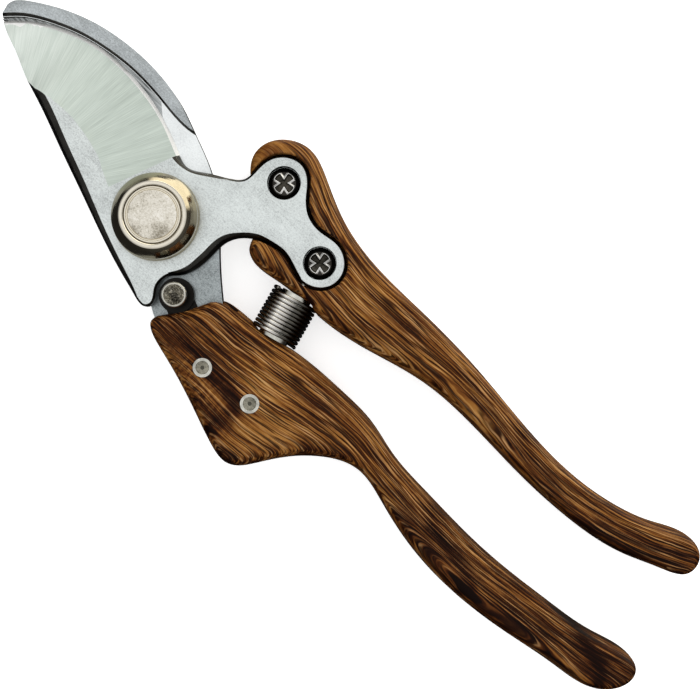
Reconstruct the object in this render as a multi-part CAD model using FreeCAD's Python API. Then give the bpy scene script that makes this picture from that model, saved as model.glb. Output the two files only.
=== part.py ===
import FreeCAD, Part

import math
import os

# Bypass secateurs with wooden handles, closed and latched, lying on their side. Millimetres.
# The origin is on the pivot axis, at the bolt's end face. +X runs towards the blade's tip,
# and +Z is the side that the cutting blade is on.

# ---- driving dimensions ----
HOOK_BOTTOM = 4.2            # underside of the counter blade and its tang
HOOK_TOP = 8.0               # sliding face of the counter blade
HOOK_BAND_TOP = 9.3          # raised band along the hook's outer edge
GROOVE_DEPTH = 1.1           # sap groove between the band and the cutting edge
SLIDE_GAP = 0.05             # running gap between faces that slide on each other
BLADE_BOTTOM = HOOK_TOP + SLIDE_GAP
BLADE_THICKNESS = 3.4
BLADE_TOP = BLADE_BOTTOM + BLADE_THICKNESS
EDGE_CHAMFER = 0.5           # chamfer round the upper edge of both plates
CHEEK_GAP = 0.4              # gap between the blade's tail and its recess in the wood

PIVOT_R = 4.0                # shank of the pivot bolt
PIVOT_FIT = 0.05             # radial running clearance on the pivot
BUSH_WALL = 1.0
COLLAR_R = 9.9               # foot of the collar
COLLAR_WALL_R = 9.6          # straight wall between the foot and the cone
COLLAR_CONE = 3.0            # height of the cone
COLLAR_TOP = 17.2
COLLAR_FACE_R = 7.4          # flat ring on top of the collar's cone
CAP_R = 6.3
CAP_SEAT = COLLAR_TOP - 2.0  # where the bolt's cap seats in the collar
NUT_R = 7.6
NUT_TOP = 3.4

EARS = [(-15.8, -25.1), (-33.9, -17.4)]   # the two ears on the blade's tail
EAR_HOLE_R = 3.8             # counterbore that the screw's head sits in
EAR_FLOOR = BLADE_BOTTOM + 1.0
SCREW_HEAD_R = 3.55
SCREW_R = 2.0
SCREW_END = 3.2              # height of the screws' ends
CROSS_TURN = -2.0            # degrees that the driver cross is turned
CROSS_DEPTH = 1.3
CROSS_SPAN = 4.4
CROSS_WIDTH = 1.0
INSERT_R = 3.2               # threaded inserts in the wood
INSERT_BOTTOM = 1.7

LATCH_PIVOT = (-30.7, 17.5)
REAR_RIVET = (-43.9, 16.2)
RIVET_R = 1.5
RIVET_HEAD_R = 2.15
LATCH_STUD = (-15.2, 9.8)
LATCH_FLANGE_R = 4.0
LATCH_THICKNESS = 1.2
LATCH_FLANGE_TOP = 10.4
STUD_R = 2.85
STUD_NECK_R = 1.6
STUD_PIN_R = 1.19            # the stud's pin, a press fit in the lever
STUD_TOP = 15.2
LATCH_SWING = 32.0           # degrees that the latch lever swings as the blades open
NOTCH_R = LATCH_FLANGE_R + 0.7   # notch in the blade that the latch flange fills

SPRING_FOOT = (-37.2, 1.3)   # centre of the spring where it leaves the lower handle
SPRING_HEAD = (-35.1, -7.7)  # centre of the spring where it enters the upper handle
SPRING_Z = 6.9
SPRING_OUTER_R = 5.7
SPRING_WIRE = 1.0
SPRING_SEAT_DEPTH = 1.0
PEG_R = 3.6
PEG_STEM_R = 1.1
PEG_STEM_LENGTH = 5.0

HANDLE_TOP_HEAD = 12.7       # upper face of the wood at the head
HANDLE_TOP_TAIL = 15.0       # and at the far end of the handles
HANDLE_BOTTOM_HEAD = 0.6      # lower face at the head
HANDLE_BOTTOM_TAIL = 0.1
HEAD_X = -20.0
TAIL_X = -140.0
ROUNDING = 5.0               # how far the wood's section rounds in from its side


def vec(x, y, z=0.0):
    return FreeCAD.Vector(x, y, z)


def curve(points, z, closed=False):
    """A smooth edge through points in the plan, at height z."""
    line = Part.BSplineCurve()
    line.interpolate(Points=[vec(x, y, z) for x, y in points], PeriodicFlag=closed)
    return line.toShape()


def straight(a, b, z):
    return Part.LineSegment(vec(*a, z), vec(*b, z)).toShape()


def arc(a, middle, b, z):
    return Part.Arc(vec(*a, z), vec(*middle, z), vec(*b, z)).toShape()


def prism(edges, height):
    """A solid of the closed outline that the edges make, extruded upwards."""
    wire = Part.Wire(Part.__sortEdges__(edges))
    return Part.Face(wire).extrude(vec(0, 0, height))


def polygon(points, z, height):
    corners = [vec(x, y, z) for x, y in points + points[:1]]
    return Part.Face(Part.makePolygon(corners)).extrude(vec(0, 0, height))


def cylinder(centre, radius, low, high):
    return Part.makeCylinder(radius, high - low, vec(centre[0], centre[1], low))


def ring(centre, outer, inner, low, high):
    return cylinder(centre, outer, low, high).cut(cylinder(centre, inner, low - 1, high + 1))


def lathe(centre, profile):
    """A solid turned about the vertical axis through centre. profile is [(radius, z)], out and back."""
    points = [vec(centre[0] + r, centre[1], z) for r, z in profile]
    face = Part.Face(Part.makePolygon(points + points[:1]))
    return face.revolve(vec(centre[0], centre[1], 0), vec(0, 0, 1), 360)


def chamfer_top(solid, top, size):
    """Chamfers the longest edge of the face at height top."""
    edges = [e for e in solid.Edges if min(v.Z for v in e.Vertexes) > top - 1e-6]
    return solid.makeChamfer(size, [max(edges, key=lambda e: e.Length)])


def turned(solid, centre, degrees):
    copy = solid.copy()
    copy.rotate(vec(centre[0], centre[1]), vec(0, 0, 1), degrees)
    return copy


# ---- the cutting blade ----
def blade_tail_points():
    """The blade's outline from the latch notch round the arm and its two ears to the heel of the edge."""
    return [
        (-12.0, 6.6), (-13.3, 5.0), (-14.3, 2.6), (-14.8, -0.2), (-14.9, -3.0), (-14.9, -5.2), (-15.4, -7.2),
        (-16.6, -9.2), (-18.6, -11.0), (-21.2, -12.4), (-24.0, -13.1), (-26.8, -13.3), (-29.8, -12.5),
        (-33.2, -11.5), (-37.0, -12.4),
        (-39.5, -15.2), (-39.7, -19.0), (-37.4, -22.2), (-33.8, -23.5), (-29.0, -23.0), (-25.0, -23.8),
        (-22.2, -26.1), (-19.6, -29.3), (-16.2, -31.1), (-12.6, -30.3), (-9.9, -27.5), (-9.1, -24.0),
        (-8.6, -19.6), (-5.6, -17.3), (-2.0, -15.4), (0.0, -14.1), (2.0, -13.1), (3.6, -12.95), (5.0, -13.3),
        (6.2, -13.8),
    ]


def blade_outline(z):
    """The back, the latch lobe and notch and the tail are one smooth line; the cutting edge is another."""
    tip = (56.2, -8.9)
    heel = blade_tail_points()[-1]
    edge_start = (6.9, -14.4)
    back = [tip, (55.2, -8.3), (49.2, -5.8), (43.7, -3.3), (36.7, -0.7), (26.6, 3.4), (17.5, 7.0),
            (7.2, 11.1), (-2.0, 14.4), (-7.0, 15.9)]
    lobe = [(-9.9, 16.6), (-11.6, 16.5), (-12.5, 15.2)]
    notch = []
    for degrees in (45, 20, -3, -26):
        angle = math.radians(degrees)
        notch.append((LATCH_STUD[0] + NOTCH_R * math.cos(angle), LATCH_STUD[1] + NOTCH_R * math.sin(angle)))
    return [
        curve(back + lobe + notch + blade_tail_points(), z),
        straight(heel, edge_start, z),
        curve([edge_start, (9.4, -15.3), (13.6, -17.0), (18.2, -18.4), (24.5, -19.5), (31.0, -19.8),
               (38.0, -19.1), (45.5, -16.5), (50.2, -13.9), (53.8, -11.1), tip], z),
    ]


def bevel_cutter():
    """What grinding takes off: all above the face from the bevel's upper line down to the cutting edge."""
    # x, then y and height of the bevel's upper line, then y of the cutting edge
    stations = [
        (4.0, 5.9, BLADE_TOP, -13.0), (9.4, 3.8, BLADE_TOP, -15.2), (12.6, 2.2, BLADE_TOP, -16.6),
        (16.5, 0.2, BLADE_TOP, -17.95), (20.9, -1.8, BLADE_TOP, -18.95), (26.3, -3.1, BLADE_TOP, -19.65),
        (31.0, -3.6, BLADE_TOP, -19.8), (34.5, -3.4, BLADE_TOP, -19.6), (37.2, -2.8, BLADE_TOP, -19.25),
        (40.2, -2.6, BLADE_TOP - 0.7, -18.5), (43.5, -2.3, BLADE_TOP - 1.35, -17.3),
        (48.0, -2.8, BLADE_TOP - 1.9, -15.2), (50.5, -3.3, BLADE_TOP - 1.9, -13.75),
        (53.0, -3.9, BLADE_TOP - 2.0, -11.8), (57.5, -4.6, BLADE_TOP - 2.7, -7.8),
    ]
    hone = 0.8
    hone_rise = 0.4
    lip = 0.05
    sections = []
    for x, y_top, z_top, y_edge in stations:
        share = min(1.0, (y_top - y_edge) / 6)
        section = [
            (y_top, z_top), (y_edge + hone * share, BLADE_BOTTOM + lip + hone_rise * share),
            (y_edge, BLADE_BOTTOM + lip), (y_edge - 4, BLADE_BOTTOM - 2.0), (y_edge - 4, BLADE_TOP + 3),
            (y_top, BLADE_TOP + 3),
        ]
        points = [vec(x, y, z) for y, z in section]
        sections.append(Part.makePolygon(points + points[:1]))
    ground = Part.makeLoft(sections, True, False)
    shoulder = polygon([(6.0, -13.4), (12.4, 2.4), (13.5, 9.0), (70.0, 9.0), (70.0, -30.0), (4.0, -30.0)],
                       BLADE_BOTTOM - 3, BLADE_THICKNESS + 8)
    return ground.common(shoulder)


# Stations of the wide bevels: x and y of the bevel's line on the upper face, x and y of its outer line.
BACK_BEVEL = [
    (51.0, -5.9, 51.6, -4.4), (46.0, -4.3, 46.7, -2.9), (41.5, -4.1, 42.6, -2.4),
    (36.2, -2.9, 37.2, -0.7), (26.6, 1.1, 27.5, 3.2), (17.5, 4.9, 18.3, 6.8), (7.6, 9.3, 8.4, 10.9),
    (-2.4, 13.2, -2.0, 14.5), (-7.6, 15.2, -7.3, 16.1), (-10.3, 16.6, -10.3, 17.4),
]
ARM_BEVEL = [
    (-10.4, 7.3, -11.0, 7.75), (-11.3, 6.0, -12.0, 6.6), (-12.2, 4.3, -13.3, 5.0), (-12.8, 1.9, -14.3, 2.6),
    (-13.0, -0.4, -14.8, -0.2), (-13.1, -3.0, -14.9, -3.0), (-13.3, -5.4, -14.9, -5.2),
    (-14.1, -7.7, -15.4, -7.2), (-15.7, -9.8, -16.6, -9.2), (-18.0, -11.9, -18.6, -11.0),
    (-20.8, -13.3, -21.2, -12.4), (-24.0, -14.0, -24.0, -13.1), (-27.0, -14.1, -26.8, -13.3),
    (-30.0, -13.2, -29.8, -12.5), (-33.2, -12.1, -33.2, -11.5),
]
HEEL_BEVEL = [
    (7.6, -12.6, 7.5, -14.6), (6.2, -12.15, 6.2, -13.8), (4.8, -12.0, 5.0, -13.3),
    (3.4, -12.05, 3.6, -12.95), (1.6, -12.4, 2.0, -13.1), (-0.5, -13.35, 0.0, -14.1),
    (-2.5, -14.6, -2.0, -15.4), (-5.1, -16.3, -4.7, -16.9), (-7.0, -17.9, -6.6, -18.2),
]


def wide_bevel(stations):
    """What a wide bevel takes off, from its line on the upper face out past the outline."""
    # share of the way from the inner line to the outer one, and height over the upper face
    section = [(0.0, 0.0), (0.55, -0.55), (1.0, -1.75), (2.5, -5.0), (2.5, 2.0), (0.0, 2.0)]
    sections = []
    for inner_x, inner_y, outer_x, outer_y in stations:
        inner = vec(inner_x, inner_y, BLADE_TOP)
        out = vec(outer_x - inner_x, outer_y - inner_y)
        points = [inner + out * share + vec(0, 0, rise) for share, rise in section]
        sections.append(Part.makePolygon(points + points[:1]))
    return Part.makeLoft(sections, True, False)


def cutting_blade():
    blade = prism(blade_outline(BLADE_BOTTOM), BLADE_THICKNESS)
    blade = chamfer_top(blade, BLADE_TOP, EDGE_CHAMFER)
    for stations in (BACK_BEVEL, ARM_BEVEL, HEEL_BEVEL):
        blade = blade.cut(wide_bevel(stations))
    blade = blade.cut(bevel_cutter())
    blade = blade.cut(cylinder((0, 0), PIVOT_R + PIVOT_FIT + BUSH_WALL, 0, 20))
    for ear in EARS:
        blade = blade.cut(cylinder(ear, EAR_HOLE_R, EAR_FLOOR, 20))
        blade = blade.cut(cylinder(ear, SCREW_R + 0.1, 0, 20))
    return blade


# ---- the counter blade ----
def hook_outline(z):
    tip_outer = (57.6, -12.2)
    tip_inner = (56.9, -9.0)
    return [
        curve([tip_outer, (57.2, -13.7), (54.6, -16.1), (49.9, -18.9), (44.8, -21.2), (39.3, -22.9),
               (33.4, -23.9), (26.5, -24.3), (20.0, -23.8), (13.7, -22.4), (7.4, -19.9), (2.1, -17.7),
               (-1.9, -15.7), (-8.4, -11.0), (-15.6, -3.5), (-22.9, 3.4), (-29.0, 7.6), (-36.0, 8.8),
               (-50.0, 10.0)], z),
        arc((-50.0, 10.0), (-56.0, 17.5), (-49.0, 24.0), z),
        curve([(-49.0, 24.0), (-40.0, 24.3), (-30.0, 22.6), (-20.0, 19.2), (-12.4, 15.7), (-6.0, 11.4),
               (0.0, 10.3), (6.0, 8.2), (10.0, 2.5), (12.5, -4.0), (16.0, -9.0), (21.0, -12.5), (28.0, -14.8),
               (36.0, -15.2), (44.0, -14.2), (50.5, -12.4), tip_inner], z),
        straight(tip_inner, tip_outer, z),
    ]


def beside(points, push):
    """The open line moved sideways, to the right of its own direction."""
    moved = []
    for i, (x, y) in enumerate(points):
        before = points[max(i - 1, 0)]
        after = points[min(i + 1, len(points) - 1)]
        along = (vec(*after) - vec(*before)).normalize()
        moved.append((x + along.y * push, y - along.x * push))
    return moved


def band_line():
    """Inner line of the raised band, from past the hook's tip to where it runs out at the hook's side."""
    return [(60.0, -6.9), (56.7, -9.9), (53.6, -12.8), (51.0, -14.5), (46.0, -16.9), (41.0, -18.7),
            (35.4, -19.9), (29.5, -20.6), (23.4, -20.6), (17.5, -20.0), (13.0, -19.4), (8.7, -19.3),
            (4.0, -20.6)]


def hook_band():
    """The raised band along the hook's outer edge, with a sloping inner wall and a curved run-out."""
    slope = 0.6
    overlap = 0.4
    rings = []
    for z, push in ((HOOK_TOP - overlap, 0.2), (HOOK_BAND_TOP + overlap, -slope)):
        line = beside(band_line(), push)
        far = [(line[-1][0], -40.0), (line[0][0], -40.0)]
        rings.append(Part.Wire([curve(line, z), straight(line[-1], far[0], z),
                                straight(far[0], far[1], z), straight(far[1], line[0], z)]))
    outside = Part.makeLoft(rings, True, True)
    raised = prism(hook_outline(HOOK_TOP - 0.2), HOOK_BAND_TOP - HOOK_TOP + 0.2)
    return raised.common(outside)


def hook_groove():
    """The sap groove between the raised band and the cutting edge, open at the tip."""
    outer = beside(band_line(), 0.15)[:-3]
    inner = [(14.5, -17.1), (18.4, -18.0), (24.5, -19.0), (31.0, -19.3), (38.0, -18.6), (45.3, -16.0),
             (50.0, -13.4), (53.6, -10.7), (60.0, -5.0)]
    z = HOOK_TOP - GROOVE_DEPTH
    return prism([curve(outer, z), straight(outer[-1], inner[0], z), curve(inner, z),
                  straight(inner[-1], outer[0], z)], 6)


def counter_blade():
    hook = prism(hook_outline(HOOK_BOTTOM), HOOK_TOP - HOOK_BOTTOM)
    hook = hook.fuse(hook_band()).removeSplitter()
    hook = hook.cut(hook_groove())
    hook = hook.cut(cylinder((0, 0), PIVOT_R + 0.02, 0, 20))
    for centre in (LATCH_PIVOT, REAR_RIVET):
        hook = hook.cut(cylinder(centre, RIVET_R + 0.02, 0, 20))
    return hook


# ---- the wooden handles ----
def upper_handle_outline():
    return [
        (-7.6, -22.0), (-5.6, -25.4), (-6.0, -29.4), (-9.2, -33.3), (-14.5, -35.3), (-20.6, -33.4),
        (-31.0, -28.5), (-43.0, -25.9), (-58.0, -25.4), (-76.0, -24.4), (-95.0, -22.0), (-108.0, -21.5),
        (-120.0, -23.1), (-130.0, -26.6), (-136.3, -29.3), (-140.7, -28.3), (-142.4, -24.6), (-141.7, -21.6),
        (-138.0, -19.7), (-128.0, -15.8), (-115.0, -13.5), (-100.0, -13.2), (-84.0, -14.1), (-69.0, -13.6),
        (-55.0, -10.3), (-42.0, -8.3), (-30.0, -8.0), (-22.6, -7.2), (-19.2, -8.9), (-18.4, -12.2),
        (-13.2, -17.3),
    ]


def lower_handle_outline():
    return [
        (-14.2, 18.0), (-15.4, 14.9), (-18.4, 11.2), (-20.1, 7.3), (-22.4, 3.7), (-26.5, 2.6), (-33.0, 2.3),
        (-44.0, 0.7), (-58.0, 0.1), (-67.0, 0.6), (-75.0, 2.7), (-86.0, 3.8), (-99.0, 4.5), (-112.0, 4.3),
        (-124.0, 3.2), (-136.0, 1.5), (-144.0, -0.5), (-147.6, 0.0), (-148.8, 2.8), (-147.4, 7.6),
        (-143.8, 10.9), (-134.0, 13.0), (-120.0, 15.2), (-106.0, 16.5), (-92.0, 15.5), (-80.0, 12.4),
        (-71.5, 10.8), (-65.0, 13.6), (-58.0, 20.0), (-53.8, 26.0), (-49.6, 30.3), (-44.0, 29.6),
        (-33.0, 25.4), (-22.0, 21.8), (-16.0, 19.8),
    ]


def inside_by(points, fine, reach):
    """The inward moves of a closed outline's points: reach long, or less where it is too narrow or sharp.

    fine is the same outline in closer points, which the distances are measured to.
    """
    count = len(points)
    turn = sum(a.x * b.y - b.x * a.y for a, b in zip(points, points[1:] + points[:1]))
    side = 1 if turn > 0 else -1
    look_ahead = 1.4
    depths = []
    normals = []
    for i in range(count):
        along = points[(i + 1) % count] - points[i - 1]
        normal = vec(-along.y, along.x).normalize() * side
        depth = reach
        while depth > 0.3:
            ahead = points[i] + normal * (depth * look_ahead)
            if min(ahead.distanceToPoint(q) for q in fine) > 0.93 * depth * look_ahead:
                break
            depth -= 0.2
        depths.append(depth)
        normals.append(normal)
    for _ in range(2):
        depths = [min(d, (depths[i - 1] + d + depths[(i + 1) % count]) / 3) for i, d in enumerate(depths)]
    return [n * d for n, d in zip(normals, depths)]


def wood_solid(outline):
    """A handle blank: its plan is the outline, and its section is rounded all the way from face to face."""
    plan = Part.BSplineCurve()
    plan.interpolate(Points=[vec(x, y) for x, y in outline], PeriodicFlag=True)
    count = 96
    points = plan.toShape().discretize(Number=count + 1)[:-1]
    inward = inside_by(points, plan.toShape().discretize(Number=400), ROUNDING)

    def level(x, share):
        return (handle_bottom(x) + handle_top(x)) / 2 + share * (handle_top(x) - handle_bottom(x)) / 2

    # share of the rounding, and height from the lower face (-1) to the upper one (1)
    section = [(1.0, -1.0), (0.5, -1.0), (0.08, -0.8), (0.0, 0.0), (0.08, 0.8), (0.5, 1.0), (1.0, 1.0)]
    poles = []
    for point, depth in zip(points, inward):
        row = []
        for pull, share in section:
            moved = point + depth * pull
            row.append(vec(moved.x, moved.y, level(moved.x, share)))
        poles.append(row)
    side = Part.BSplineSurface()
    side.buildFromPolesMultsKnots(poles, [1] * (count + 1), [4, 1, 1, 1, 4],
                                  list(range(count + 1)), [0, 1, 2, 3, 4], True, False, 3, 3)
    wall = side.toShape()
    faces = [wall]
    for edge in wall.Edges:
        heights = [edge.valueAt(edge.FirstParameter + (edge.LastParameter - edge.FirstParameter) * t).z
                   for t in (0.1, 0.5)]
        if edge.isClosed() and max(heights) - min(heights) < 3:
            faces.append(Part.Face(Part.Wire(edge)))
    shell = Part.Shell(faces)
    shell.sewShape()
    solid = Part.Solid(shell)
    if solid.Volume < 0:
        solid.reverse()
    return solid


def spring_axis():
    return (vec(*SPRING_HEAD) - vec(*SPRING_FOOT)).normalize()


def along_spring(radius, start, end):
    """A round bar on the spring's axis. start and end are measured from the spring's foot."""
    foot = vec(*SPRING_FOOT, SPRING_Z)
    return Part.makeCylinder(radius, end - start, foot + spring_axis() * start, spring_axis())


def spring_length():
    return vec(*SPRING_HEAD).distanceToPoint(vec(*SPRING_FOOT))


def tail_recess():
    """The recess in the upper handle that the blade's tail drops into."""
    floor = BLADE_BOTTOM - SLIDE_GAP
    tail = [vec(*p) for p in blade_tail_points()]
    wider = []
    for before, point, after in zip(tail, tail[1:], tail[2:]):
        along = after - before
        wider.append(point + vec(along.y, -along.x).normalize() * CHEEK_GAP)
    wider = [(p.x, p.y) for p in wider[1:]]
    return prism([curve(wider, floor), straight(wider[-1], wider[0], floor)], 10)


def upper_handle():
    wood = wood_solid(upper_handle_outline())
    wood = wood.cut(tail_recess())
    for ear in EARS:
        wood = wood.cut(cylinder(ear, INSERT_R + 0.05, INSERT_BOTTOM - 0.1, 20))
    end = spring_length()
    wood = wood.cut(along_spring(SPRING_OUTER_R + 0.2, end - 1.5, end + SPRING_SEAT_DEPTH))
    return wood.cut(along_spring(PEG_STEM_R + 0.05, end, end + PEG_STEM_LENGTH + 0.2))


def latch_sweep(outer_radius, inner_radius, margin, low, high):
    """The sector about the latch pivot that the lever sweeps, and margin degrees more on each side."""
    arm = vec(*LATCH_STUD) - vec(*LATCH_PIVOT)
    start = math.degrees(math.atan2(arm.y, arm.x))
    sector = Part.makeCylinder(outer_radius, high - low, vec(*LATCH_PIVOT, low), vec(0, 0, 1),
                               LATCH_SWING + 2 * margin)
    sector.rotate(vec(*LATCH_PIVOT), vec(0, 0, 1), start - LATCH_SWING - margin)
    if inner_radius:
        sector = sector.cut(cylinder(LATCH_PIVOT, inner_radius, low - 1, high + 1))
    return sector


def latch_arm_length():
    return vec(*LATCH_STUD).distanceToPoint(vec(*LATCH_PIVOT))


def lower_handle():
    wood = wood_solid(lower_handle_outline())
    low = HOOK_BOTTOM - SLIDE_GAP
    slot = prism(hook_outline(low), HOOK_TOP + SLIDE_GAP - low)
    wood = wood.cut(slot.common(Part.makeBox(50, 40, 20, vec(-60, 0, 0))))
    lever_roof = BLADE_BOTTOM + LATCH_THICKNESS + 0.35
    reach = latch_arm_length() + LATCH_FLANGE_R + 0.5
    wood = wood.cut(latch_sweep(reach, 0, 20, HOOK_TOP, lever_roof))
    wood = wood.cut(latch_sweep(10.0, 0, 42, HOOK_TOP, lever_roof))
    wood = wood.cut(cylinder(LATCH_PIVOT, 5.6, HOOK_TOP, lever_roof))
    flange_inner = latch_arm_length() - LATCH_FLANGE_R - 0.3
    wood = wood.cut(latch_sweep(reach, flange_inner, 20, HOOK_TOP, LATCH_FLANGE_TOP + 0.25))
    wood = wood.cut(latch_sweep(reach, latch_arm_length() - STUD_NECK_R - 0.2, 20, HOOK_TOP, 20))
    for centre in (LATCH_PIVOT, REAR_RIVET):
        wood = wood.cut(cylinder(centre, RIVET_R + 0.02, -1, 20))
    wood = wood.cut(along_spring(SPRING_OUTER_R + 0.2, -SPRING_SEAT_DEPTH, 1.5))
    return wood.cut(along_spring(PEG_STEM_R + 0.05, -PEG_STEM_LENGTH - 0.2, 0.0))


# ---- pivot ----
def pivot_bolt():
    """Shouldered bolt: its satin cap stands in the collar's mouth, and its end is flush with the nut."""
    return lathe((0, 0), [
        (0, 0), (PIVOT_R - 0.4, 0), (PIVOT_R, 0.4), (PIVOT_R, CAP_SEAT), (CAP_R, CAP_SEAT),
        (CAP_R, COLLAR_TOP - 0.25), (CAP_R - 0.15, COLLAR_TOP - 0.1), (CAP_R - 0.4, COLLAR_TOP - 0.1),
        (CAP_R - 0.5, COLLAR_TOP - 0.35), (CAP_R - 0.75, COLLAR_TOP - 0.35), (CAP_R - 0.9, COLLAR_TOP),
        (0, COLLAR_TOP + 0.1),
    ])


def pivot_collar():
    """Tall collar under the bolt's cap: a wall, a cone and a flat ring, bored for the cap."""
    low = BLADE_TOP + SLIDE_GAP
    return lathe((0, 0), [
        (PIVOT_R + 0.02, low), (COLLAR_R - 0.2, low), (COLLAR_R, low + 0.3), (COLLAR_R, low + 0.7),
        (COLLAR_WALL_R, low + 1.1), (COLLAR_WALL_R, COLLAR_TOP - COLLAR_CONE),
        (COLLAR_FACE_R + 0.1, COLLAR_TOP - 0.2), (COLLAR_FACE_R - 0.2, COLLAR_TOP),
        (CAP_R + 0.45, COLLAR_TOP), (CAP_R + 0.15, COLLAR_TOP - 0.25), (CAP_R + 0.15, CAP_SEAT),
        (PIVOT_R + 0.02, CAP_SEAT),
    ])


def pivot_bush():
    return ring((0, 0), PIVOT_R + PIVOT_FIT + BUSH_WALL - 0.01, PIVOT_R + PIVOT_FIT, BLADE_BOTTOM, BLADE_TOP)


def pivot_spring_washer():
    return lathe((0, 0), [
        (PIVOT_R + 0.1, NUT_TOP + 0.35), (PIVOT_R + 0.1, HOOK_BOTTOM), (PIVOT_R + 0.5, HOOK_BOTTOM),
        (6.8, NUT_TOP + 0.4), (6.8, NUT_TOP), (6.4, NUT_TOP),
    ])


def pivot_nut():
    nut = lathe((0, 0), [
        (PIVOT_R + 0.02, 0), (NUT_R - 0.5, 0), (NUT_R, 0.5), (NUT_R, NUT_TOP - 0.4), (NUT_R - 0.4, NUT_TOP),
        (PIVOT_R + 0.02, NUT_TOP),
    ])
    notches = 12
    notch_r = 1.1
    circle = NUT_R * 1.06
    for i in range(notches):
        angle = 2 * math.pi * i / notches
        nut = nut.cut(cylinder((circle * math.cos(angle), circle * math.sin(angle)), notch_r, -1, 10))
    return nut


# ---- fasteners in the handles ----
def cross_recess(centre):
    """The driver's cross, sunk from the blade's upper face down."""
    low = BLADE_TOP - CROSS_DEPTH
    arms = []
    for length, breadth in ((CROSS_SPAN, CROSS_WIDTH), (CROSS_WIDTH, CROSS_SPAN)):
        corner = vec(centre[0] - length / 2, centre[1] - breadth / 2, low)
        arms.append(Part.makeBox(length, breadth, CROSS_DEPTH + 1, corner))
    return turned(arms[0].fuse(arms[1]), centre, CROSS_TURN)


def handle_screws():
    screws = []
    for ear in EARS:
        screw = lathe(ear, [
            (0, SCREW_END), (SCREW_R - 0.4, SCREW_END), (SCREW_R, SCREW_END + 0.4), (SCREW_R, EAR_FLOOR),
            (SCREW_HEAD_R, EAR_FLOOR), (SCREW_HEAD_R, EAR_FLOOR + 1.1), (SCREW_HEAD_R - 0.5, EAR_FLOOR + 1.7),
            (1.6, BLADE_TOP), (0, BLADE_TOP),
        ])
        screws.append(screw.cut(cross_recess(ear)))
    return Part.makeCompound(screws)


def screw_inserts():
    top = HOOK_TOP - 0.1
    return Part.makeCompound([ring(ear, INSERT_R, SCREW_R + 0.02, INSERT_BOTTOM, top) for ear in EARS])


def handle_top(x):
    return HANDLE_TOP_HEAD + (HANDLE_TOP_TAIL - HANDLE_TOP_HEAD) * (HEAD_X - x) / (HEAD_X - TAIL_X)


def handle_bottom(x):
    return HANDLE_BOTTOM_HEAD + (HANDLE_BOTTOM_TAIL - HANDLE_BOTTOM_HEAD) * (HEAD_X - x) / (HEAD_X - TAIL_X)


def rivet(centre):
    low = handle_bottom(centre[0])
    high = handle_top(centre[0])
    rim = 0.25
    return lathe(centre, [
        (0, low), (RIVET_R, low), (RIVET_R, high + rim), (RIVET_R - 0.5, high), (0, high),
    ])


def rivet_washers():
    """Washers on the wood's upper face that the rivets are peened over."""
    washers = []
    for centre in (LATCH_PIVOT, REAR_RIVET):
        top = handle_top(centre[0])
        washers.append(lathe(centre, [
            (RIVET_R + 0.02, top + 0.04), (RIVET_HEAD_R, top + 0.04), (RIVET_HEAD_R, top + 0.2),
            (RIVET_R + 0.02, top + 0.3),
        ]))
    return Part.makeCompound(washers)


# ---- the latch ----
def lock_lever():
    low = BLADE_BOTTOM
    high = BLADE_BOTTOM + LATCH_THICKNESS
    direction = (vec(*LATCH_PIVOT) - vec(*LATCH_STUD)).normalize()
    across = vec(-direction.y, direction.x)
    near = vec(*LATCH_STUD)
    far = vec(*LATCH_PIVOT)
    half_near = 3.4
    half_far = 3.2
    corners = [near + across * half_near, near - across * half_near,
               far - across * half_far, far + across * half_far]
    arm = polygon([(p.x, p.y) for p in corners], low, high - low)
    lever = arm.fuse(cylinder(LATCH_STUD, LATCH_FLANGE_R, low, LATCH_FLANGE_TOP))
    lever = lever.fuse(cylinder(LATCH_PIVOT, half_far, low, high)).removeSplitter()
    lever = lever.cut(cylinder(LATCH_PIVOT, RIVET_R + 0.06, 0, 20))
    return lever.cut(cylinder(LATCH_STUD, STUD_PIN_R + 0.01, 0, 20))


def lock_stud():
    top = LATCH_FLANGE_TOP
    return lathe(LATCH_STUD, [
        (0, BLADE_BOTTOM + 0.1), (STUD_PIN_R, BLADE_BOTTOM + 0.1), (STUD_PIN_R, top), (STUD_NECK_R, top),
        (STUD_NECK_R, STUD_TOP - 2.2), (STUD_R, STUD_TOP - 2.0), (STUD_R, STUD_TOP - 0.5),
        (STUD_R - 0.35, STUD_TOP - 0.1), (STUD_R - 0.8, STUD_TOP - 0.25), (0, STUD_TOP - 0.05),
    ])


def lever_washer():
    low = BLADE_BOTTOM + LATCH_THICKNESS + 0.03
    return ring(LATCH_PIVOT, 3.0, RIVET_R + 0.06, low, low + 0.3)


# ---- the spring and its pegs ----
def spring():
    """Compression spring, pressed nearly solid while the secateurs are latched."""
    middle_r = SPRING_OUTER_R - SPRING_WIRE / 2
    start = -SPRING_SEAT_DEPTH + SPRING_WIRE / 2 + 0.1
    length = spring_length() + 2 * SPRING_SEAT_DEPTH - SPRING_WIRE - 0.2
    turns = 9.5
    path = Part.makeHelix(length / turns, length, middle_r)
    section = Part.Wire(Part.makeCircle(SPRING_WIRE / 2, vec(middle_r, 0, 0), vec(0, 1, 0)))
    coil = Part.Wire(path).makePipeShell([section], True, True)
    axis = spring_axis()
    coil.Placement = FreeCAD.Placement(vec(*SPRING_FOOT, SPRING_Z) + axis * start,
                                       FreeCAD.Rotation(vec(0, 0, 1), axis))
    return coil


def lower_spring_peg():
    stem = along_spring(PEG_STEM_R, -PEG_STEM_LENGTH, 0.2)
    return stem.fuse(along_spring(PEG_R, -SPRING_SEAT_DEPTH, 1.6)).removeSplitter()


def upper_spring_peg():
    end = spring_length()
    stem = along_spring(PEG_STEM_R, end - 0.2, end + PEG_STEM_LENGTH)
    return stem.fuse(along_spring(PEG_R, end - 1.6, end + SPRING_SEAT_DEPTH)).removeSplitter()


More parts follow.
